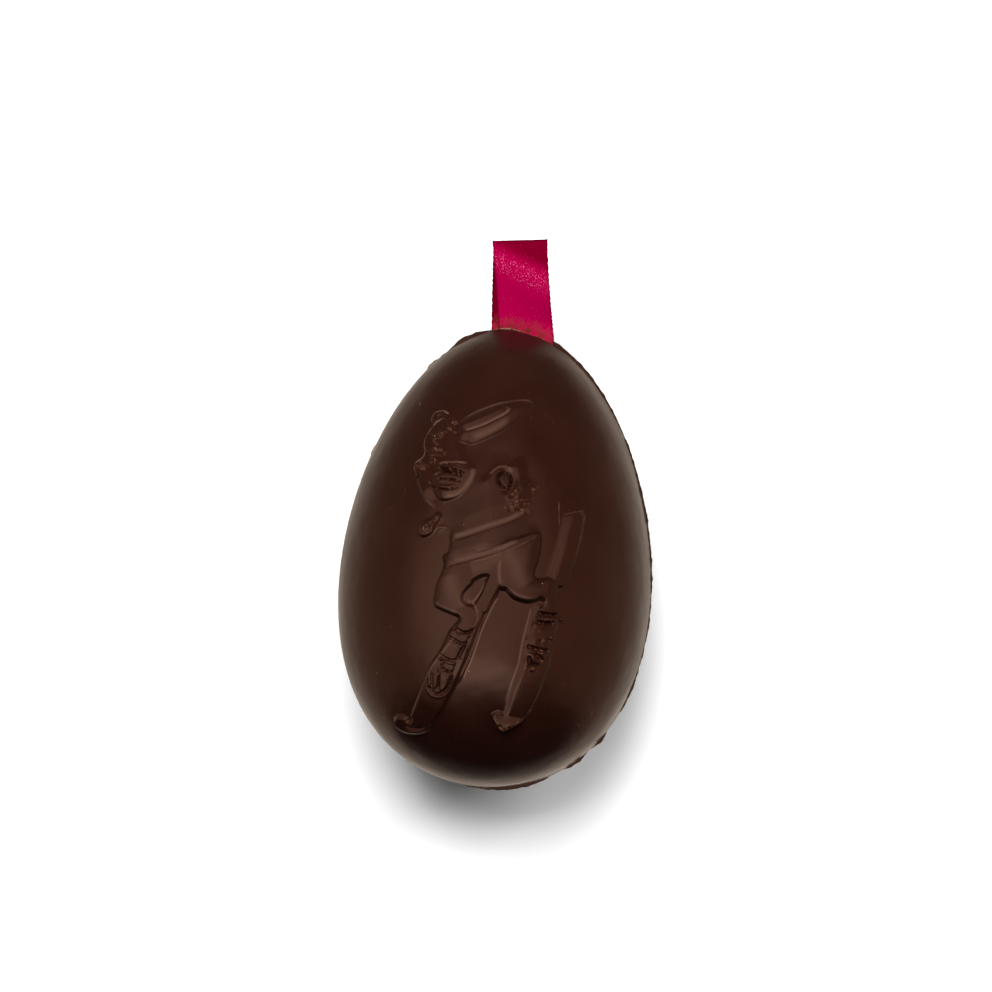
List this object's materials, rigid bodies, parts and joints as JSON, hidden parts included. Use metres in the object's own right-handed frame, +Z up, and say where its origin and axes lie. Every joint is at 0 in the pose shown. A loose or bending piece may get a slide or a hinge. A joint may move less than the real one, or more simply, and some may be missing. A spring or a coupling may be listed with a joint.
{
  "type": "hollow chocolate egg",
  "caption": "Dark chocolate egg of joined moulded halves, lying on its plain half, with a skiing rabbit in low relief and a crimson satin ribbon loop at its pointed end.",
  "frame": {"origin": "centre of the small flat rest spot on the plain back half, below the broadest station of the egg", "axes": "+Z up out of the relief half, +Y along the egg from the blunt end to the ribbon, +X to the right seen from above with the ribbon at the top"},
  "size_m": [0.0579, 0.1019, 0.058],
  "materials": {
    "chocolate_front": null,
    "chocolate_back": null,
    "ribbon": "crimson polyester satin ribbon, stained with chocolate where it enters the egg"
  },
  "bodies": {
    "root": {"shell_front": "chocolate_front", "shell_back": "chocolate_back", "ribbon_loop": "ribbon"}
  },
  "joints": []
}
